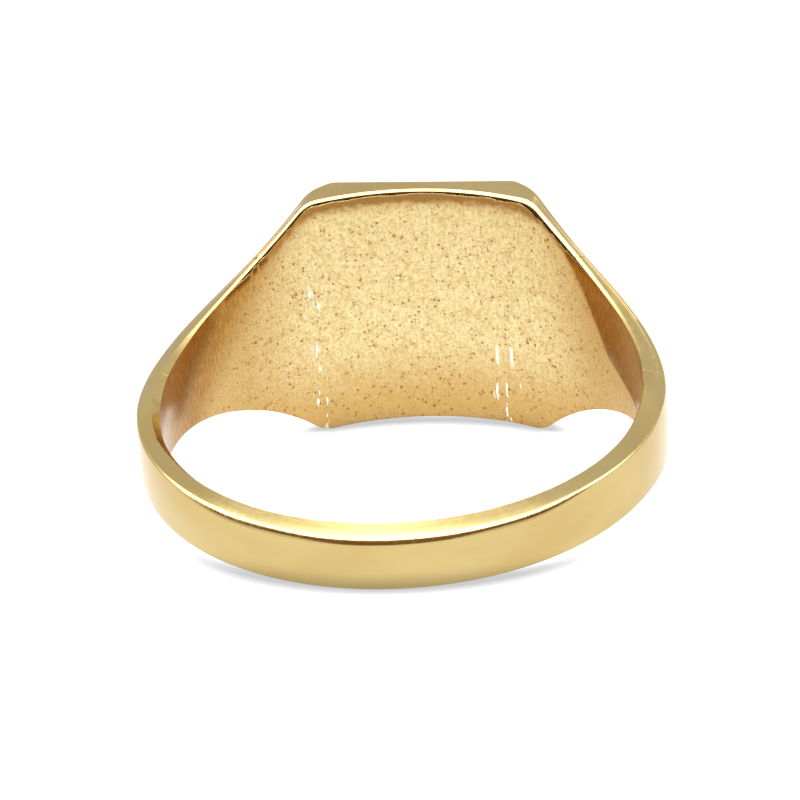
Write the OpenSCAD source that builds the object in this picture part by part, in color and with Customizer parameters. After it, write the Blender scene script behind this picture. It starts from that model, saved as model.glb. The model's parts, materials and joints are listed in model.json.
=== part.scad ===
// Signet ring with a hollow head, lying on its side as it rests on a table.
//
// The ring is put together the way a goldsmith fabricates one: a struck head shell, two
// shoulders, a bent lining sheet that closes the back of the head, a plain shank, and
// the solder that joins them.
//
// Each piece is modelled in the ring's own frame: the finger hole's axis is Z, its
// centre is the origin, and the head is towards +Y. at_rest() then tips the whole ring
// about X until the head's lower tips and the back of the shank share one level floor.
// Angles named *_deg are measured around the finger from the middle of the head.

/* [Finger hole] */
// Inside diameter of the ring
hole_d = 18; // [15:0.25:22]

/* [Head] */
// Width of the head across the finger, between its upright corner edges
head_w = 8.7; // [7:0.1:10.2]
// Height of the head along the finger
head_h = 10.1; // [8:0.1:12.5]
// Thickness of the head at its middle, from the finger hole to the flat face
head_t = 0.95; // [0.85:0.05:1.6]
// Width of the flat part of the face across the finger
face_w = 6.8; // [5.5:0.1:8.5]
// Radius that turns the flat face into the shoulders
face_edge_r = 0.5; // [0.3:0.1:1.5]
// Radius of the head's four rounded tips, seen from the front
tip_r = 0.9; // [0.9:0.1:3]
// Thickness of the sheet that the face is struck from
shell_t = 0.4; // [0.3:0.05:0.5]

/* [Shoulders] */
// Angle at which each shoulder meets the head shell
head_joint_deg = 42.5; // [40:0.5:48]
// Angle at which each shoulder meets the shank
shank_joint_deg = 82.5; // [78:0.5:86]
// Width of the shoulder where it meets the shank
shoulder_end_w = 3.5; // [3:0.1:4.6]
// Thickness of the shoulder, measured 60 degrees round from the middle of the head
shoulder_t = 0.8; // [0.55:0.05:0.8]
// Radius of the hollow curve that each shoulder's edge follows down from the head
shoulder_curve_r = 15; // [9:0.5:20]

/* [Shank] */
// Width of the shank at the back
shank_w = 2.3; // [1.8:0.1:2.9]
// Thickness of the shank
shank_t = 0.9; // [0.85:0.05:1.4]
// Angle from which the shank widens towards the shoulders
flare_deg = 114; // [105:1:130]

/* [Lining sheet] */
// Thickness of the lining sheet
lining_t = 0.25; // [0.2:0.05:0.3]
// Width of the rim that stands around the lining sheet
rim_w = 0.2; // [0.15:0.05:0.6]
// Angle at which the lining sheet ends on each shoulder
lining_end_deg = 54; // [50:1:60]

/* [Solder] */
// Thickness of each soldered butt joint
joint_gap = 0.08; // [0.04:0.01:0.15]
// Width of the soldered seam around the lining sheet
seam_w = 0.12; // [0.06:0.01:0.2]
// How far the seam lies below the inside of the ring
seam_sunk = 0.08; // [0.04:0.01:0.12]
// Width of the ledge that the lining sheet is soldered down on
ledge_w = 0.4; // [0.3:0.05:0.6]

/* [Hidden] */
$fn = 96;
arc_step = 4;
far = 2 * hole_d;                          // reaches past every part of the ring
hole_r = hole_d / 2;
face_y = hole_r + head_t;
shank_r = hole_r + shank_t;
cavity_side = 0.1;                         // how far the cavity stays inside the flat face

// The outside of a shoulder is an arc that leaves the shank's circle at a tangent.
blend_deg = 100;
measure_deg = 60;                          // where shoulder_t is measured
measure_r = hole_r + shoulder_t;
shoulder_shift = (pow(shank_r, 2) - pow(measure_r, 2))
    / (2 * (shank_r - measure_r * cos(blend_deg - measure_deg)));
shoulder_r = shank_r - shoulder_shift;
shoulder_c = polar(shoulder_shift, blend_deg);

// A straight flank runs at a tangent from the rounded edge of the face to that arc.
edge_c = [face_w / 2, face_y - face_edge_r];
flank = edge_c - shoulder_c;
flank_deg = atan2(flank[0], flank[1]) + acos((shoulder_r - face_edge_r) / norm(flank));

// The flare is an arc that leaves the shank's straight edge at a tangent.
flare_y = hole_r * cos(flare_deg);
flare_run = hole_r * cos(shank_joint_deg) - flare_y;
flare_rise = (shoulder_end_w - shank_w) / 2;
flare_r = (pow(flare_run, 2) + pow(flare_rise, 2)) / (2 * flare_rise);

// The hollow edge of a shoulder is an arc from the head's corner. It meets the flare a little
// past the shank joint, so that their crossing lies well inside the shank.
corner = [head_w / 2, head_h / 2];
meet_past = 3;                             // degrees from the joint to that crossing
meet_deg = shank_joint_deg + meet_past;
meet_y = hole_r * cos(meet_deg);
hollow_end = [hole_r * sin(meet_deg),
              shank_w / 2 + flare_r - sqrt(pow(flare_r, 2) - pow(meet_y - flare_y, 2))];
chord = hollow_end - corner;
hollow_c = (corner + hollow_end) / 2
    + sqrt(pow(shoulder_curve_r, 2) - pow(norm(chord) / 2, 2))
    * [-chord[1], chord[0]] / norm(chord);

// Each tip of the head is rounded by an arc that touches its end and the hollow curve.
tip_y = head_h / 2 - tip_r;
tip_c = [hollow_c[0] - sqrt(pow(shoulder_curve_r + tip_r, 2) - pow(hollow_c[1] - tip_y, 2)), tip_y];
tip_deg = atan2(hollow_c[0] - tip_c[0], hollow_c[1] - tip_c[1]);

// Lying down, the ring touches the floor with the inner edges of the head's two lower tips
// and with one point of the shank's lower edge.
tip_inner_y = sqrt(pow(hole_r, 2) - pow(tip_c[0], 2));
rest_deg = atan2((head_h - shank_w) / 2, tip_inner_y + shank_r);

function polar(r, deg) = [r * sin(deg), r * cos(deg)];

// Points along an arc from one angle to another, about arc_step apart.
function arc(centre, r, from_deg, to_deg) =
    let (steps = ceil(abs(to_deg - from_deg) / arc_step))
    [for (i = [0:steps]) centre + polar(r, from_deg + (to_deg - from_deg) * i / steps)];

module at_rest() {
    rotate([rest_deg, 0, 0]) children();
}

module disc_at(centre, r) {
    translate(centre) circle(r);
}

// Outline seen along the finger, without the finger hole.
module plan_outline() {
    half = concat(
        [[0, face_y]],
        arc(edge_c, face_edge_r, 0, flank_deg),
        arc(shoulder_c, shoulder_r, flank_deg, blend_deg),
        arc([0, 0], shank_r, blend_deg + arc_step, 180 - arc_step));
    polygon(concat(half, [[0, -shank_r]],
                   [for (i = [len(half) - 1:-1:1]) [-half[i][0], half[i][1]]]));
}

// Outline seen from the front, with its edges moved inwards by an inset.
module front_outline(inset) {
    quarter = concat(
        arc(tip_c, tip_r - inset, 0, tip_deg),
        arc(hollow_c, shoulder_curve_r + inset, tip_deg + 180, 180),
        [[far / 2, hollow_c[1] - shoulder_curve_r - inset]]);
    last = len(quarter) - 1;
    polygon(concat(quarter,
                   [for (i = [last:-1:0]) [quarter[i][0], -quarter[i][1]]],
                   [for (i = [0:last]) -quarter[i]],
                   [for (i = [last:-1:0]) [-quarter[i][0], quarter[i][1]]]));
}

// Outline seen from the side, as Y and Z: a shank of even width that flares to the head.
module side_outline() {
    translate([-far, -shank_w / 2]) square([far + flare_y, shank_w]);
    difference() {
        translate([flare_y, -far / 2]) square([far, far]);
        for (side = [-1, 1])
            disc_at([flare_y, side * (shank_w / 2 + flare_r)], flare_r);
    }
}

// Solid shape of the whole ring, with the finger hole still closed.
module blank() {
    intersection() {
        linear_extrude(far, center = true) plan_outline();
        rotate([90, 0, 0]) linear_extrude(far, center = true) front_outline(0);
        rotate([90, 0, 90]) linear_extrude(far, center = true) side_outline();
    }
}

module ring_form() {
    difference() {
        blank();
        cylinder(h = far, r = hole_r, center = true);
    }
}

// Everything within an angle of the head's middle; a positive margin widens it evenly.
module sector(deg, margin) {
    side = polar(far, deg) + margin * [cos(deg), -sin(deg)];
    linear_extrude(far, center = true)
        polygon([[0, -margin / sin(deg)], side, [far, far], [-far, far], [-side[0], side[1]]]);
}

module right_half() {
    intersection() {
        children();
        translate([0, -far / 2, -far / 2]) cube(far);
    }
}

// Space between two angles around the ring, each moved by its own margin.
module between(deg_1, margin_1, deg_2, margin_2) {
    difference() {
        sector(deg_2, margin_2);
        sector(deg_1, margin_1);
    }
}

// Recess that holds the lining sheet and the seam around it.
module lining_recess(inset, end_margin) {
    intersection() {
        difference() {
            cylinder(h = far, r = hole_r + lining_t, center = true);
            cylinder(h = 2 * far, r = hole_r, center = true);
        }
        rotate([90, 0, 0]) linear_extrude(far, center = true) front_outline(inset);
        sector(lining_end_deg, end_margin);
    }
}

module head_cavity() {
    size = [face_w - 2 * cavity_side, face_y - shell_t,
            head_h - 2 * (rim_w + seam_w + ledge_w)];
    difference() {
        translate([-size[0] / 2, 0, -size[2] / 2]) cube(size);
        cylinder(h = far, r = hole_r + lining_t / 2, center = true);
    }
}

module outer_metal() {
    difference() {
        ring_form();
        lining_recess(rim_w, seam_w);
    }
}

module right_shoulder_shape() {
    right_half()
        intersection() {
            outer_metal();
            between(head_joint_deg, joint_gap / 2, shank_joint_deg, -joint_gap / 2);
        }
}

module right_joint_shape(deg) {
    right_half()
        intersection() {
            outer_metal();
            between(deg, -joint_gap / 2, deg, joint_gap / 2);
        }
}

module signet_head() {
    color("goldenrod") at_rest()
        difference() {
            intersection() {
                outer_metal();
                sector(head_joint_deg, -joint_gap / 2);
            }
            head_cavity();
        }
}

module left_shoulder() {
    color("goldenrod") at_rest() mirror([1, 0, 0]) right_shoulder_shape();
}

module right_shoulder() {
    color("goldenrod") at_rest() right_shoulder_shape();
}

module back_lining() {
    color("khaki") at_rest() lining_recess(rim_w + seam_w, 0);
}

module shank() {
    color("gold") at_rest()
        difference() {
            ring_form();
            sector(shank_joint_deg, joint_gap / 2);
        }
}

module lining_seam() {
    color("saddlebrown") at_rest()
        difference() {
            lining_recess(rim_w, seam_w);
            lining_recess(rim_w + seam_w, 0);
            cylinder(h = far, r = hole_r + seam_sunk, center = true);
        }
}

module left_head_solder() {
    color("darkkhaki") at_rest() mirror([1, 0, 0]) right_joint_shape(head_joint_deg);
}

module right_head_solder() {
    color("darkkhaki") at_rest() right_joint_shape(head_joint_deg);
}

module left_shank_solder() {
    color("darkkhaki") at_rest() mirror([1, 0, 0]) right_joint_shape(shank_joint_deg);
}

module right_shank_solder() {
    color("darkkhaki") at_rest() right_joint_shape(shank_joint_deg);
}

signet_head();
left_shoulder();
right_shoulder();
back_lining();
shank();
lining_seam();
left_head_solder();
right_head_solder();
left_shank_solder();
right_shank_solder();
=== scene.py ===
"""A gold signet ring seen from behind, resting on the lower tips of its head and its shank.

Each piece is a closed solid swept round the finger hole. Sizes are in millimetres and degrees in
the ring's own frame: the finger axis is z, the head is towards +y, and an angle is measured from
the middle of the head towards +x. to_scene() turns a point of that frame into the scene's metres.
"""
import json
from math import acos, asin, atan2, ceil, cos, degrees, pi, radians, sin, sqrt, tan

import bmesh
import bpy
from mathutils import Matrix, Vector, noise


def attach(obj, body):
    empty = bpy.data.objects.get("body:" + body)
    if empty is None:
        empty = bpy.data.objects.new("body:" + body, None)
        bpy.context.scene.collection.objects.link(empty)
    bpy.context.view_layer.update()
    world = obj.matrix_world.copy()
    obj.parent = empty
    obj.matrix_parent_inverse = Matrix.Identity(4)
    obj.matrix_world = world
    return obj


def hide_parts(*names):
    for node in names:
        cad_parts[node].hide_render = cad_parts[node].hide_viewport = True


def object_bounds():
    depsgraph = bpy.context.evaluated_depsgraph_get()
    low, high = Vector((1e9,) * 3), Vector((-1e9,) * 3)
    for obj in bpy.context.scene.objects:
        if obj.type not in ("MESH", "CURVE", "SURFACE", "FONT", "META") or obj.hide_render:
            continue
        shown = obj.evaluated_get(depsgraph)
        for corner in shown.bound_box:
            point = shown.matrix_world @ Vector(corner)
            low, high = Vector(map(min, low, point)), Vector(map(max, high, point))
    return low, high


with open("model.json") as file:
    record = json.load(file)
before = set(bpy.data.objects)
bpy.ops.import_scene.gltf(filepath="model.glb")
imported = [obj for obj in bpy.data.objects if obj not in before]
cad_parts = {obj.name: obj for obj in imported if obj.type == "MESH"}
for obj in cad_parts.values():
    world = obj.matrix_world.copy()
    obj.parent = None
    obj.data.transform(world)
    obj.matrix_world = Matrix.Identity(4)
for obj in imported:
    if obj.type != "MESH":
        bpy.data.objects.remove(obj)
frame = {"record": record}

cad_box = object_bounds()

# ---------------------------------------------------------------- sizes, as in the CAD part
MM = 0.001
HOLE_R = 9.0
HEAD_W = 8.7
HEAD_H = 10.1
HEAD_T = 0.95
FACE_W = 6.8
FACE_EDGE_R = 0.5
TIP_R = 0.9
HEAD_JOINT = 42.5
SHANK_JOINT = 82.5
SHOULDER_END_W = 3.5
SHOULDER_T = 0.8
SHOULDER_CURVE_R = 15.0
MEET_PAST = 3.0
SHANK_W = 2.3
SHANK_T = 0.9
FLARE = 114.0
BLEND = 100.0
MEASURE = 60.0
LINING_T = 0.25
LINING_END = 54.0
JOINT_GAP = 0.08
SEAM_SUNK = 0.08

# ---------------------------------------------------------------- sizes only seen here
STEP = 1.0
FINE_STEP = 0.25
SHARP = 28.0
GROUND_BACK = 0.15
GROUND_FLAT = 28.0
GROUND_END = 56.0
LOWER_BEVEL = 0.05
SOLDER_ANGLE = degrees(JOINT_GAP / HOLE_R)
CLEAR = 0.004
RECESS_POINTS = 4
FACE_STEPS = 12
GAP = 0.09
WIDE_GAP = 0.12
LINING_ROUND = 0.03


def smooth(low, high, value):
    """0 below low, 1 above high, and an even curve between them."""
    share = min(max((value - low) / (high - low), 0.0), 1.0)
    return share * share * (3 - 2 * share)


def mix(a, b, share):
    return a + (b - a) * share


def curve(points, value):
    """A smooth curve through (place, value) points."""
    for (x0, y0), (x1, y1) in zip(points, points[1:]):
        if value <= x1:
            return mix(y0, y1, smooth(x0, x1, value))
    return points[-1][1]


def wander(place, seed):
    """Noise from about -1 to 1 along a line, the same on every run."""
    return noise.noise(Vector((place, seed * 7.13, seed * 3.71)))


# ---------------------------------------------------------------- the ring's outline
def polar(radius, deg):
    return Vector((radius * sin(radians(deg)), radius * cos(radians(deg))))


def shoulder_circle():
    """Centre and radius of the arc along the outside of a shoulder."""
    shank_r = HOLE_R + SHANK_T
    middle_r = HOLE_R + SHOULDER_T
    reach = 2 * (shank_r - middle_r * cos(radians(BLEND - MEASURE)))
    shift = (shank_r ** 2 - middle_r ** 2) / reach
    return polar(shift, BLEND), shank_r - shift


FACE_Y = HOLE_R + HEAD_T
SHANK_R = HOLE_R + SHANK_T
SHOULDER_C, SHOULDER_ARC_R = shoulder_circle()
EDGE_C = Vector((FACE_W / 2, FACE_Y - FACE_EDGE_R))
FLANK = EDGE_C - SHOULDER_C
FLANK_DEG = degrees(atan2(FLANK.x, FLANK.y))
FLANK_DEG += degrees(acos((SHOULDER_ARC_R - FACE_EDGE_R) / FLANK.length))


def on_circle(centre, radius, way):
    along = centre.dot(way)
    return along + sqrt(max(radius ** 2 - centre.length_squared + along ** 2, 0))


def outer_radius(deg):
    """Distance from the finger axis to the outside: flat face, its edge, flank, shoulder, shank."""
    deg = abs(deg)
    if deg >= BLEND:
        return SHANK_R
    way = polar(1, deg)
    normal = polar(1, FLANK_DEG)
    edge_start = EDGE_C + Vector((0, FACE_EDGE_R))
    edge_end = EDGE_C + normal * FACE_EDGE_R
    flank_end = SHOULDER_C + normal * SHOULDER_ARC_R
    if deg < degrees(atan2(edge_start.x, edge_start.y)):
        return FACE_Y / way.y
    if deg < degrees(atan2(edge_end.x, edge_end.y)):
        return on_circle(EDGE_C, FACE_EDGE_R, way)
    if deg < degrees(atan2(flank_end.x, flank_end.y)):
        return (normal.dot(EDGE_C) + FACE_EDGE_R) / normal.dot(way)
    return on_circle(SHOULDER_C, SHOULDER_ARC_R, way)


# ---------------------------------------------------------------- the ring's width
FLARE_Y = HOLE_R * cos(radians(FLARE))
FLARE_RUN = HOLE_R * cos(radians(SHANK_JOINT)) - FLARE_Y
FLARE_RISE = (SHOULDER_END_W - SHANK_W) / 2
FLARE_R = (FLARE_RUN ** 2 + FLARE_RISE ** 2) / (2 * FLARE_RISE)


def flare_width(y):
    """Half of the width that the shank's flare allows at a distance towards the head."""
    flare = max(y - FLARE_Y, 0)
    return SHANK_W / 2 + FLARE_R - sqrt(max(FLARE_R ** 2 - flare ** 2, 0))


def hollow_centre():
    """Centre of the arc that cuts a shoulder in from the head's corner, in x and z.

    It meets the flare a little past the shank joint.
    """
    corner = Vector((HEAD_W / 2, HEAD_H / 2))
    meet = polar(HOLE_R, SHANK_JOINT + MEET_PAST)
    end = Vector((meet.x, flare_width(meet.y)))
    chord = end - corner
    rise = sqrt(SHOULDER_CURVE_R ** 2 - (chord.length / 2) ** 2)
    return (corner + end) / 2 + Vector((-chord.y, chord.x)) * rise / chord.length


HOLLOW = hollow_centre()
TIP_Z = HEAD_H / 2 - TIP_R
TIP_X = HOLLOW.x - sqrt((SHOULDER_CURVE_R + TIP_R) ** 2 - (HOLLOW.y - TIP_Z) ** 2)
TIP_END_X = TIP_X + (HOLLOW.x - TIP_X) * TIP_R / (SHOULDER_CURVE_R + TIP_R)


def half_width(radius, deg):
    """Half of the ring's width along the finger at a point of its plan."""
    x = abs(radius * sin(radians(deg)))
    y = radius * cos(radians(deg))
    if x < TIP_X:
        front = HEAD_H / 2
    elif x < TIP_END_X:
        front = TIP_Z + sqrt(TIP_R ** 2 - (x - TIP_X) ** 2)
    else:
        front = HOLLOW.y - sqrt(max(SHOULDER_CURVE_R ** 2 - (x - HOLLOW.x) ** 2, 0))
    return min(front, flare_width(y))


def inner_radius(deg):
    """The finger hole's wall. The back of the head was ground a little flatter."""
    return HOLE_R + GROUND_BACK * (1 - smooth(GROUND_FLAT, GROUND_END, abs(deg)))


# ---------------------------------------------------------------- edges, by angle
BEVEL = ((-180, 0.05), (-150, 0.1), (-122, 0.16), (-104, 0.28), (-88, 0.32), (-76, 0.24), (-60, 0.11),
         (-30, 0.1), (0, 0.08), (20, 0.1), (30, 0.15), (44, 0.13), (60, 0.11), (76, 0.12),
         (84, 0.05), (180, 0.05))
BEVEL_RISE = 0.8
UPPER_FILLET = ((0, 0.12), (60, 0.1), (90, 0.08), (125, 0.12), (148, 0.4), (180, 0.45))
INNER_SLOPE = ((0, 0.0), (125, 0.0), (148, 17.0), (180, 20.0))
CROWN = ((0, 0.02), (25, 0.02), (50, 0.05), (90, 0.05), (180, 0.07))
LOWER_FILLET = 0.07
LOWER_RIM = 0.07
UPPER_RIM = 0.02
FILE_MARKS = (-114, -84)
FILE_WAVE = 0.022
RIM_WAVE = 0.006
FILLET_STEPS = 10
CROWN_STEPS = 5


def signed(deg):
    return (deg + 180) % 360 - 180


def file_marks(place):
    """Small waves that the file left in the bevel below the left shank joint."""
    filed = smooth(FILE_MARKS[0], FILE_MARKS[0] + 6, place)
    filed *= 1 - smooth(FILE_MARKS[1], FILE_MARKS[1] + 2, place)
    return (RIM_WAVE + FILE_WAVE * filed) * wander(place * 0.8, 5)


def rim_half(deg, side):
    """Points from the hole's wall, over the rim, to the middle of the outside."""
    place = signed(deg)
    upper = side > 0
    around = abs(place)
    bevel = curve(BEVEL, place) if upper else LOWER_BEVEL
    mark = file_marks(place) if upper else 0.0
    fillet = curve(UPPER_FILLET, around) if upper else LOWER_FILLET
    slope = radians(curve(INNER_SLOPE, around)) if upper else 0.0
    crown = curve(CROWN, around)
    inner = inner_radius(place)
    outer = outer_radius(place)
    start = inner + bevel
    end = outer - fillet * (1 - sin(slope))
    fillet_z = half_width(end, place) - fillet * cos(slope) - (end - start) * tan(slope)
    crown_r = (fillet_z + fillet) ** 2 / (2 * crown)
    fillet_x = outer - crown_r + sqrt((crown_r - fillet) ** 2 - fillet_z ** 2)
    crown_deg = degrees(asin(fillet_z / (crown_r - fillet)))
    top = half_width(start, place)
    low = half_width(inner, place) - BEVEL_RISE * bevel
    points = [(inner, low)]
    points.append((inner + bevel * 0.5 + mark, mix(low, top, 0.5) + mark / 2))
    points.append((start + mark * 2, top))
    for share in (0.25, 0.5, 0.75):
        radius = mix(start, end, share)
        points.append((radius, half_width(radius, place) - (radius - start) * tan(slope)))
    for i in range(FILLET_STEPS + 1):
        turn = mix(pi / 2 - slope, radians(crown_deg), i / FILLET_STEPS)
        points.append((fillet_x + fillet * cos(turn), fillet_z + fillet * sin(turn)))
    for i in range(1, CROWN_STEPS):
        turn = radians(crown_deg * (1 - i / CROWN_STEPS))
        points.append((outer - crown_r + crown_r * cos(turn), crown_r * sin(turn)))
    return [(radius, side * z) for radius, z in points]


def lining_edges(place):
    """Lowest and highest z of the lining's recess."""
    edge = half_width(inner_radius(place), place)
    return LOWER_RIM - edge, edge - BEVEL_RISE * curve(BEVEL, place) - UPPER_RIM


def rim_section(deg, recess):
    """The whole section of the outer metal, with the recess for the lining or without it."""
    inner = inner_radius(signed(deg))
    low, high = lining_edges(signed(deg))
    depth = LINING_T if recess else 0.0
    floor = [(inner, low), (inner + depth, low), (inner + depth, high), (inner, high)]
    return floor + rim_half(deg, 1) + rim_half(deg, -1)[::-1]


# ---------------------------------------------------------------- swept solids
FINGER_AXIS = frame["record"]["mounts"][0]["axis"]
TILT = atan2(-FINGER_AXIS[1], FINGER_AXIS[2])


def to_scene(x, y, z):
    """A point of the ring's own frame, in millimetres, as a point of the scene in metres."""
    return Vector((x, y * cos(TILT) - z * sin(TILT), y * sin(TILT) + z * cos(TILT))) * MM


def angles(start, end, step):
    count = max(ceil((end - start) / step), 1)
    return [mix(start, end, i / count) for i in range(count + 1)]


def sweep(name, stations, sections, inside=-1):
    """A closed solid through section loops of (radius, z), one for each angle in stations.

    The first inside points of a loop are on the finger's side, and take the second material.
    """
    mesh = bpy.data.meshes.new(name)
    grid = bmesh.new()
    layer = grid.verts.layers.float_vector.new("place")
    below = grid.verts.layers.float.new("below")
    rows = []
    for deg, loop in zip(stations, sections):
        row = []
        for radius, z in loop:
            x, y = polar(radius, deg)
            vert = grid.verts.new(to_scene(x, y, z))
            vert[layer] = Vector((radians(deg) * HOLE_R, z, radius))
            vert[below] = half_width(HOLE_R, signed(deg)) - z
            row.append(vert)
        rows.append(row)
    for row, after in zip(rows, rows[1:]):
        for i in range(len(row)):
            j = (i + 1) % len(row)
            face = grid.faces.new((row[i], row[j], after[j], after[i]))
            face.material_index = 1 if i < inside or (inside >= 0 and j == 0) else 0
    grid.faces.new(rows[0][::-1])
    grid.faces.new(rows[-1])
    bmesh.ops.remove_doubles(grid, verts=grid.verts, dist=CLEAR * 0.1 * MM)
    bmesh.ops.recalc_face_normals(grid, faces=grid.faces)
    for face in grid.faces:
        face.smooth = True
    for edge in grid.edges:
        if len(edge.link_faces) == 2:
            edge.smooth = edge.calc_face_angle() < radians(SHARP)
    grid.to_mesh(mesh)
    grid.free()
    piece = bpy.data.objects.new(name, mesh)
    bpy.context.scene.collection.objects.link(piece)
    return piece


def finish_piece(piece, node, slot, *materials):
    for material in materials:
        piece.data.materials.append(material)
    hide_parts(node)
    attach(piece, "root")


# ---------------------------------------------------------------- materials
class Nodes:
    """Short names for making a material's nodes."""

    def __init__(self, name, world=False):
        self.owner = bpy.data.worlds.new(name) if world else bpy.data.materials.new(name)
        self.owner.use_nodes = True
        self.tree = self.owner.node_tree
        self.tree.nodes.clear()

    def add(self, kind, **settings):
        node = self.tree.nodes.new(kind)
        for key, value in settings.items():
            setattr(node, key, value)
        return node

    def link(self, source, target):
        self.tree.links.new(source, target)

    def feed(self, socket, value):
        if isinstance(value, bpy.types.NodeSocket):
            self.link(value, socket)
        else:
            socket.default_value = value

    def math(self, operation, a, b=0.0, c=0.0, clamp=False):
        node = self.add("ShaderNodeMath", operation=operation, use_clamp=clamp)
        for socket, value in zip(node.inputs, (a, b, c)):
            self.feed(socket, value)
        return node.outputs[0]

    def ramp(self, value, low, high, start=0.0, end=1.0, smooth_ends=True):
        kind = "SMOOTHSTEP" if smooth_ends else "LINEAR"
        node = self.add("ShaderNodeMapRange", interpolation_type=kind)
        for socket, item in zip(node.inputs, (value, low, high, start, end)):
            self.feed(socket, item)
        return node.outputs[0]

    def colour(self, share, a, b, blend="MIX"):
        node = self.add("ShaderNodeMix", data_type="RGBA", blend_type=blend)
        self.feed(node.inputs[0], share)
        self.feed(node.inputs[6], a)
        self.feed(node.inputs[7], b)
        return node.outputs[2]

    def scale(self, vector, size):
        node = self.add("ShaderNodeVectorMath", operation="MULTIPLY")
        self.feed(node.inputs[0], vector)
        node.inputs[1].default_value = size
        return node.outputs[0]

    def noise(self, vector, scale, detail=2.0, roughness=0.5):
        node = self.add("ShaderNodeTexNoise")
        self.feed(node.inputs["Vector"], vector)
        node.inputs["Scale"].default_value = scale
        node.inputs["Detail"].default_value = detail
        node.inputs["Roughness"].default_value = roughness
        return node.outputs[0]

    def dots(self, vector, scale, randomness=1.0):
        node = self.add("ShaderNodeTexVoronoi")
        self.feed(node.inputs["Vector"], vector)
        node.inputs["Scale"].default_value = scale
        node.inputs["Randomness"].default_value = randomness
        return node.outputs["Distance"], node.outputs["Color"]

    def bump(self, height, strength, distance, normal=None):
        node = self.add("ShaderNodeBump")
        self.feed(node.inputs["Height"], height)
        node.inputs["Strength"].default_value = strength
        node.inputs["Distance"].default_value = distance
        if normal is not None:
            self.link(normal, node.inputs["Normal"])
        return node.outputs[0]

    def metal(self, colour, roughness, normal=None, metallic=1.0):
        shader = self.add("ShaderNodeBsdfPrincipled")
        self.feed(shader.inputs["Base Color"], colour)
        self.feed(shader.inputs["Roughness"], roughness)
        self.feed(shader.inputs["Metallic"], metallic)
        if normal is not None:
            self.link(normal, shader.inputs["Normal"])
        out = self.add("ShaderNodeOutputMaterial")
        self.link(shader.outputs[0], out.inputs[0])
        return self.owner


def place_parts(nodes):
    """A point's place in mm, from its attribute: the whole, its arc along the hole, its height."""
    attribute = nodes.add("ShaderNodeAttribute", attribute_name="place")
    parts = nodes.add("ShaderNodeSeparateXYZ")
    nodes.link(attribute.outputs["Vector"], parts.inputs[0])
    return attribute.outputs["Vector"], parts.outputs[0], parts.outputs[1]


GOLD = (0.60, 0.455, 0.19, 1)
GOLD_DEEP = (0.56, 0.405, 0.155, 1)
CHAMPAGNE = (0.87, 0.76, 0.42, 1)
CHAMPAGNE_DARK = (0.68, 0.49, 0.20, 1)
# A brown stain along the top of the lining; the seam's solder also uses this colour as painted shade.
STAIN = (0.22, 0.09, 0.022, 1)
ORANGE = (0.56, 0.32, 0.08, 1)
# Painted shade: the polished inside near the shank is dark orange, partly a brownish stain and partly
# the light bounced between the gold walls.
INSIDE = (0.33, 0.16, 0.034, 1)
INSIDE_PALE = (0.53, 0.27, 0.055, 1)
PIT = (0.38, 0.15, 0.03, 1)
# Painted highlight: the near-white colour of the glints along the creases inside.
GLINT = (1.0, 0.97, 0.86, 1)
# Painted shade: the near-black colour of the solder in the open joint above the lining, for the shade
# in the gap.
SOOT = (0.05, 0.022, 0.009, 1)
LEFT_CREASE = -4.45
RIGHT_CREASE = 3.0
# Middle of the two painted glint lines at the right crease, and how far each line is from it.
GLINT_LINES = 2.9
GLINT_LINES_APART = 0.3


def polished_gold():
    n = Nodes("polished_gold")
    spot = place_parts(n)[0]
    cloudy = n.noise(n.scale(spot, (0.25, 0.6, 0.6)), 1.0, 3.0)
    tint = n.colour(n.ramp(cloudy, 0.35, 0.7), GOLD, GOLD_DEEP)
    lines = n.noise(n.scale(spot, (0.5, 22.0, 9.0)), 1.0, 3.0)
    marks = n.noise(spot, 5.0, 4.0, 0.6)
    rough = n.math("ADD", n.ramp(marks, 0.3, 0.75, 0.11, 0.2), n.ramp(lines, 0.35, 0.7, 0.0, 0.05))
    soft = n.bump(lines, 0.2, 0.004 * MM)
    normal = n.bump(marks, 0.25, 0.008 * MM, soft)
    return n.metal(tint, rough, normal)


def pit_layer(n, spot, scale, least, largest):
    """Round pits, each of its own size: 1 inside a pit and 0 outside."""
    distance, shade = n.dots(spot, scale)
    chosen = n.add("ShaderNodeSeparateXYZ")
    n.link(shade, chosen.inputs[0])
    size = n.ramp(chosen.outputs[0], least, 1.0, 0.0, largest, False)
    return n.ramp(n.math("SUBTRACT", size, distance), 0.0, 0.12)


def polish_share(n, arc, height):
    """How far the inside was polished, which also sets how far its painted shade reaches: 0 on the
    pickled head, 1 near the shank.
    """
    down = n.math("MINIMUM", height, 0.0)
    bend = n.math("MULTIPLY", n.math("MULTIPLY", down, down), 1.5)
    right_edge = n.math("ADD", n.math("MULTIPLY_ADD", height, -0.7, 8.3), bend)
    left_edge = n.math("MULTIPLY_ADD", height, -0.9, 9.4)
    right = n.ramp(n.math("SUBTRACT", arc, right_edge), -0.2, 0.2)
    left = n.ramp(n.math("SUBTRACT", n.math("MULTIPLY", arc, -1.0), left_edge), -1.6, 0.5)
    return n.math("MAXIMUM", right, left)


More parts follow.
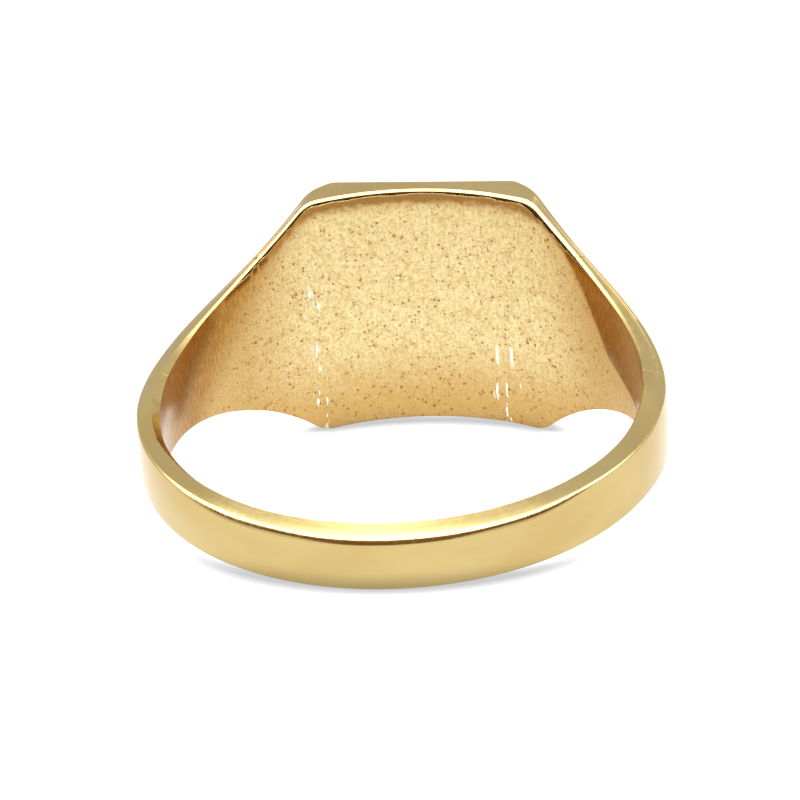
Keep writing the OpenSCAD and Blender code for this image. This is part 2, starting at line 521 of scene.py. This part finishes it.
def glint_share(n, spot, arc, height):
    """Painted highlights: near-white glint flecks and two short glint lines in the colour, along the
    two creases where the head meets the shoulders.
    """
    flecks = n.noise(n.scale(spot, (5.0, 1.2, 1.0)), 1.0, 2.0, 0.6)
    left = n.ramp(n.math("ABSOLUTE", n.math("ADD", arc, -LEFT_CREASE)), 0.1, 0.5, 1.0, 0.0)
    right = n.ramp(n.math("ABSOLUTE", n.math("ADD", arc, -RIGHT_CREASE)), 0.3, 1.3, 1.0, 0.0)
    right = n.math("MULTIPLY", right, n.ramp(height, -2.9, -3.3))
    near = n.math("MULTIPLY", n.math("MAXIMUM", left, right), n.ramp(height, 3.3, 2.4))
    spots = n.ramp(n.math("MULTIPLY_ADD", near, 0.22, flecks), 0.8, 0.85)
    apart = n.math("ABSOLUTE", n.math("ADD", arc, -GLINT_LINES))
    apart = n.math("ABSOLUTE", n.math("SUBTRACT", apart, GLINT_LINES_APART))
    lines = n.math("MULTIPLY", n.ramp(apart, 0.02, 0.09, 1.0, 0.0), n.ramp(height, -1.5, -1.8))
    return n.math("MAXIMUM", spots, n.math("MULTIPLY", lines, n.ramp(height, -2.6, -2.2)))


def inside_finish():
    """The inside of the ring: pickled and pitted behind the head, polished towards the shank. Its
    colour also holds painted glints at the creases and painted shade towards the shoulders, the shank
    and the lower edge.
    """
    n = Nodes("inside_finish")
    spot, arc, height = place_parts(n)
    below = n.add("ShaderNodeAttribute", attribute_name="below").outputs["Fac"]
    cloudy = n.noise(spot, 0.5, 4.0, 0.6)
    blotch = n.noise(spot, 2.2, 3.0, 0.6)
    mottle = n.noise(spot, 10.0, 4.0, 0.75)
    grain = n.noise(n.scale(spot, (13.0, 2.2, 1.0)), 1.0, 3.0, 0.65)
    aside = n.ramp(n.math("ABSOLUTE", arc), 4.2, 8.0)
    tint = n.colour(n.ramp(mottle, 0.35, 0.7), CHAMPAGNE, CHAMPAGNE_DARK)
    tint = n.colour(n.ramp(grain, 0.5, 0.72, 0.0, 0.5), tint, ORANGE)
    tint = n.colour(n.ramp(blotch, 0.48, 0.72, 0.0, 0.35), tint, ORANGE)
    # Painted reflection: more orange towards the shoulders, where the gold walls face each other.
    tint = n.colour(n.math("MULTIPLY", aside, 0.6), tint, ORANGE)
    ragged = n.math("MULTIPLY_ADD", n.math("SUBTRACT", blotch, 0.5), 0.6, below)
    # A brown stain along the top of the lining, below the open joint.
    tint = n.colour(n.ramp(ragged, 0.7, 0.38, 0.0, 0.95), tint, STAIN)
    tint = n.colour(n.ramp(ragged, 1.1, 0.3, 0.0, 0.4), tint, ORANGE)
    # Painted shade: darker and more orange towards the lower edge.
    tint = n.colour(n.ramp(height, -1.0, -4.6, 0.0, 0.8), tint, ORANGE)
    shifted = n.add("ShaderNodeVectorMath", operation="MULTIPLY_ADD")
    wobble = n.add("ShaderNodeTexNoise")
    wobble.inputs["Scale"].default_value = 9.0
    n.link(spot, wobble.inputs["Vector"])
    n.link(wobble.outputs["Color"], shifted.inputs[0])
    shifted.inputs[1].default_value = (0.12, 0.16, 0.12)
    n.link(spot, shifted.inputs[2])
    worn = shifted.outputs[0]
    coarse = n.math("MULTIPLY", pit_layer(n, worn, 3.0, 0.5, 0.27), n.ramp(cloudy, 0.36, 0.5))
    fine = n.math("MULTIPLY", pit_layer(n, worn, 6.5, 0.35, 0.46), n.ramp(blotch, 0.38, 0.58))
    flecked = n.math("MULTIPLY", pit_layer(n, worn, 4.3, 0.3, 0.4), n.ramp(mottle, 0.42, 0.6))
    pits = n.math("MAXIMUM", coarse, n.math("MAXIMUM", fine, n.math("MULTIPLY", flecked, 0.7)))
    tint = n.colour(n.math("MULTIPLY", pits, 0.85), tint, PIT)
    # Painted highlight: near-white glints mixed into the colour along the creases.
    tint = n.colour(glint_share(n, spot, arc, height), tint, GLINT)
    # The polished zone: its low roughness is the real polish; its dark orange colour is partly a
    # stain and partly painted shade and inter-reflection.
    polished = polish_share(n, arc, height)
    clean = n.colour(n.ramp(grain, 0.4, 0.7), INSIDE, INSIDE_PALE)
    tint = n.colour(polished, tint, clean)
    rough = n.ramp(mottle, 0.3, 0.7, 0.36, 0.5)
    rough = n.ramp(polished, 0.0, 1.0, rough, n.ramp(mottle, 0.3, 0.7, 0.14, 0.2))
    uneven = n.math("ADD", n.math("MULTIPLY", mottle, 0.5), n.math("MULTIPLY", grain, 0.4))
    relief = n.math("SUBTRACT", uneven, n.math("MULTIPLY", pits, 0.6))
    relief = n.math("MULTIPLY", relief, n.ramp(polished, 0.0, 1.0, 1.0, 0.1))
    return n.metal(tint, rough, n.bump(relief, 0.7, 0.03 * MM))


def gold_solder():
    n = Nodes("gold_solder")
    spot = place_parts(n)[0]
    marks = n.noise(spot, 9.0, 4.0, 0.6)
    tint = n.colour(n.ramp(marks, 0.35, 0.7), GOLD, ORANGE)
    return n.metal(tint, n.ramp(marks, 0.3, 0.7, 0.2, 0.4), n.bump(marks, 0.6, 0.02 * MM))


def dark_solder():
    n = Nodes("dark_solder")
    spot = place_parts(n)[0]
    marks = n.noise(spot, 6.0, 4.0, 0.6)
    # Painted shade: the sunk solder in the open joint is coloured near black and dark brown for the
    # shade in the gap; the joint itself is real.
    tint = n.colour(n.ramp(marks, 0.35, 0.7), SOOT, STAIN)
    return n.metal(tint, n.ramp(marks, 0.3, 0.7, 0.4, 0.7), n.bump(marks, 0.8, 0.04 * MM), 0.6)


# ---------------------------------------------------------------- pieces
HEAD_JOINT_RISE = -0.012
LEFT_SHANK_JOINT_RISE = 0.004
RIGHT_SHANK_JOINT_RISE = 0.003


def head_piece(outside, inside):
    stations = angles(-HEAD_JOINT + SOLDER_ANGLE, HEAD_JOINT - SOLDER_ANGLE, STEP)
    sections = [rim_section(deg, True) for deg in stations]
    piece = sweep("head", stations, sections, RECESS_POINTS)
    finish_piece(piece, "signet_head", "polished_gold", outside, inside)


def shoulder_piece(side, outside, inside):
    """One shoulder: the part by the head has the recess, the part by the shank has none."""
    recessed = angles(HEAD_JOINT, LINING_END, STEP)
    solid = angles(LINING_END + CLEAR, SHANK_JOINT, STEP)
    stations = [side * deg for deg in recessed + solid]
    sections = [rim_section(side * deg, True) for deg in recessed]
    sections += [rim_section(side * deg, False) for deg in solid]
    if side < 0:
        stations = stations[::-1]
        sections = sections[::-1]
    name = "right_shoulder" if side > 0 else "left_shoulder"
    piece = sweep(name + "_piece", stations, sections, RECESS_POINTS)
    finish_piece(piece, name, "polished_gold", outside, inside)


def shank_piece(outside, inside):
    stations = angles(SHANK_JOINT + SOLDER_ANGLE, 360 - SHANK_JOINT - SOLDER_ANGLE, STEP)
    sections = [rim_section(deg, False) for deg in stations]
    piece = sweep("shank_piece", stations, sections, RECESS_POINTS)
    finish_piece(piece, "shank", "polished_gold", outside, inside)


def proud(section, height):
    """The section grown about its middle by a height, so that a joint is a hair proud or sunk."""
    middle = (min(r for r, z in section) + max(r for r, z in section)) / 2
    grown = 1 + height / (max(r for r, z in section) - middle)
    return [(middle + (r - middle) * grown, z * (1 + height / 2)) for r, z in section]


def joint_piece(name, start, end, recess, height, *materials):
    stations = [start, mix(start, end, 0.3), mix(start, end, 0.7), end]
    sections = [rim_section(deg, recess) for deg in stations]
    sections[1:3] = [proud(section, height) for section in sections[1:3]]
    piece = sweep(name + "_piece", stations, sections, RECESS_POINTS)
    finish_piece(piece, name, "gold_solder", *materials)


def upper_gap(deg):
    """The open joint above the lining: a hair at the left and the middle, wide at the right."""
    wide = WIDE_GAP * smooth(24, 30, deg) * (1 - smooth(36, 43, deg))
    ragged = GAP + 0.05 * wander(deg * 0.22, 1) + 0.03 * wander(deg * 0.7, 2)
    ends = (1 - smooth(42, 50, deg)) * smooth(-54, -47, deg)
    return max(ragged + wide * (1 + 0.5 * wander(deg * 0.6, 3)), 0.0) * ends


def lining_section(deg):
    inner = inner_radius(deg)
    low, high = lining_edges(deg)
    high -= upper_gap(deg) + CLEAR
    low += CLEAR
    back = inner + LINING_T - CLEAR
    top = high - LINING_ROUND
    face = [(inner, mix(low, top, i / FACE_STEPS)) for i in range(FACE_STEPS + 1)]
    edge = [(inner + 0.008, high - 0.012), (inner + 0.022, high), (back, high), (back, low)]
    return face + edge


def lining_piece(outside, inside):
    end = LINING_END - CLEAR
    stations = angles(-end, end, FINE_STEP)
    sections = [lining_section(deg) for deg in stations]
    piece = sweep("lining", stations, sections, FACE_STEPS)
    finish_piece(piece, "back_lining", "pickled_gold", outside, inside)


def seam_section(deg):
    """Solder in the upper joint, sunk below the lining's face."""
    inner = inner_radius(deg)
    low, high = lining_edges(deg)
    front = inner + SEAM_SUNK
    back = inner + LINING_T - CLEAR
    low = high - upper_gap(deg) - CLEAR / 2
    return [(front, low), (front, high), (back, high), (back, low)]


def seam_piece(material):
    stations = angles(-LINING_END + 1, LINING_END - 1, FINE_STEP)
    sections = [seam_section(deg) for deg in stations]
    finish_piece(sweep("seam", stations, sections), "lining_seam", "dark_solder", material)


# ---------------------------------------------------------------- floor, light and camera
FLOOR_R = 3.0
SHADOW_REACH = 1.1 * MM
FLOOR_SHADED = 0.62
FLOOR_OPEN = 1.34
CAM_DIST = 170 * MM
CAM_AZ = 7.77
CAM_EL = 17.54
CAM_ROLL = -2.51
CAM_TARGET = Vector((-0.050, -0.209, 0.963)) * MM
CAM_LENS = 205.7
CAM_SENSOR = 36
CAM_NEAR = 0.001
CAM_FAR = 10


def make_floor():
    mesh = bpy.data.meshes.new("floor")
    grid = bmesh.new()
    bmesh.ops.create_circle(grid, cap_ends=True, segments=64, radius=FLOOR_R)
    grid.to_mesh(mesh)
    grid.free()
    n = Nodes("floor_glow_painted_shadow")
    # Painted contact shadow: the floor glows, and its glow is dimmed by ambient occlusion near the
    # ring.
    open_sky = n.add("ShaderNodeAmbientOcclusion", samples=16)
    open_sky.inputs["Distance"].default_value = SHADOW_REACH
    fibre = n.noise(n.add("ShaderNodeTexCoord").outputs["Object"], 400.0, 2.0)
    lit = n.add("ShaderNodeEmission")
    n.link(n.colour(fibre, (0.98, 0.98, 1.0, 1), (1, 1, 1, 1)), lit.inputs[0])
    n.link(n.ramp(open_sky.outputs["AO"], 0.3, 0.95, FLOOR_SHADED, FLOOR_OPEN), lit.inputs[1])
    out = n.add("ShaderNodeOutputMaterial")
    n.link(lit.outputs[0], out.inputs[0])
    mesh.materials.append(n.owner)
    floor = bpy.data.objects.new("floor", mesh)
    floor.location.z = cad_box[0][2]
    bpy.context.scene.collection.objects.link(floor)


LIGHT_TOP = 6.0
BACK_STRIP = (1.8, 1.75, 1.5)
SIDE_GREY = (0.9, 0.9, 0.9)
BACK_STRIP_DEG = 5
SIDE_DROP_DEG = 24
LIGHT = ((0, (1, 1, 1)), (3, (1, 1, 1)), (6, (0.26, 0.14, 0.06)), (48, (0.26, 0.15, 0.07)),
         (53, (6, 6, 6)), (88, (5, 5, 5)), (99, (1.6, 1.6, 1.6)), (112, (0.9, 0.9, 0.88)),
         (150, (0.72, 0.72, 0.7)), (166, (0.65, 0.65, 0.64)), (172, (1.5, 1.5, 1.4)))


def dimmed(colour):
    """A light's colour as a share of the brightest light, for the world's one strength."""
    return tuple(value / LIGHT_TOP for value in colour) + (1,)


def light_ramp(n, share):
    node = n.add("ShaderNodeValToRGB")
    n.link(share, node.inputs[0])
    elements = node.color_ramp.elements
    while len(elements) < len(LIGHT):
        elements.new(0.5)
    for element, (deg, colour) in zip(elements, LIGHT):
        element.position = deg / 180
        element.color = dimmed(colour)
    return node.outputs[0]


def make_world():
    """A white room with a long soft light above and before the ring, and a dim viewer's side."""
    n = Nodes("studio", world=True)
    way = n.add("ShaderNodeSeparateXYZ")
    n.link(n.add("ShaderNodeTexCoord").outputs["Generated"], way.inputs[0])
    turn = n.math("ARCTAN2", way.outputs[2], n.math("MULTIPLY", way.outputs[1], -1.0))
    wide = n.ramp(n.math("ABSOLUTE", way.outputs[0]), 0.3, 0.7, 0.0, radians(SIDE_DROP_DEG))
    light = light_ramp(n, n.math("DIVIDE", n.math("SUBTRACT", turn, wide), pi))
    turned = n.math("ARCTAN2", way.outputs[0], way.outputs[1])
    away = n.math("ABSOLUTE", n.math("SUBTRACT", turned, radians(BACK_STRIP_DEG)))
    strip = n.ramp(away, 0.3, 0.42, 1.0, 0.0)
    band = n.ramp(way.outputs[2], 0.42, 0.5, 1.0, 0.0)
    strip = n.math("MULTIPLY", strip, band)
    light = n.colour(strip, light, dimmed(BACK_STRIP))
    aside = n.ramp(n.math("ABSOLUTE", way.outputs[0]), 0.75, 0.95)
    aside = n.math("MULTIPLY", aside, n.ramp(way.outputs[2], 0.42, 0.25))
    background = n.add("ShaderNodeBackground")
    n.link(n.colour(aside, light, dimmed(SIDE_GREY)), background.inputs[0])
    background.inputs[1].default_value = LIGHT_TOP
    out = n.add("ShaderNodeOutputWorld")
    n.link(background.outputs[0], out.inputs[0])
    bpy.context.scene.world = n.owner


def make_camera():
    az = radians(CAM_AZ)
    el = radians(CAM_EL)
    roll = radians(CAM_ROLL)
    back = Vector((sin(az) * cos(el), -cos(az) * cos(el), sin(el)))
    level = Vector((cos(az), sin(az), 0))
    right = cos(roll) * level + sin(roll) * back.cross(level)
    turn = Matrix((right, back.cross(right), back)).transposed().to_4x4()
    data = bpy.data.cameras.new("camera")
    data.lens = CAM_LENS
    data.sensor_width = CAM_SENSOR
    data.clip_start = CAM_NEAR
    data.clip_end = CAM_FAR
    camera = bpy.data.objects.new("camera", data)
    camera.matrix_world = Matrix.Translation(CAM_TARGET + back * CAM_DIST) @ turn
    bpy.context.scene.collection.objects.link(camera)
    bpy.context.scene.camera = camera


make_camera()
make_world()
make_floor()
gold = polished_gold()
inside = inside_finish()
solder = gold_solder()
head_piece(gold, inside)
shoulder_piece(-1, gold, inside)
shoulder_piece(1, gold, inside)
shank_piece(gold, inside)
near = HEAD_JOINT - SOLDER_ANGLE
far = SHANK_JOINT + SOLDER_ANGLE
joint_piece("left_head_solder", -HEAD_JOINT, -near, True, HEAD_JOINT_RISE, solder, inside)
joint_piece("right_head_solder", near, HEAD_JOINT, True, HEAD_JOINT_RISE, solder, inside)
joint_piece("left_shank_solder", -far, -SHANK_JOINT, False, LEFT_SHANK_JOINT_RISE, solder, inside)
joint_piece("right_shank_solder", SHANK_JOINT, far, False, RIGHT_SHANK_JOINT_RISE, solder, inside)
lining_piece(gold, inside)
seam_piece(dark_solder())
bpy.context.scene.view_settings.view_transform = "Standard"
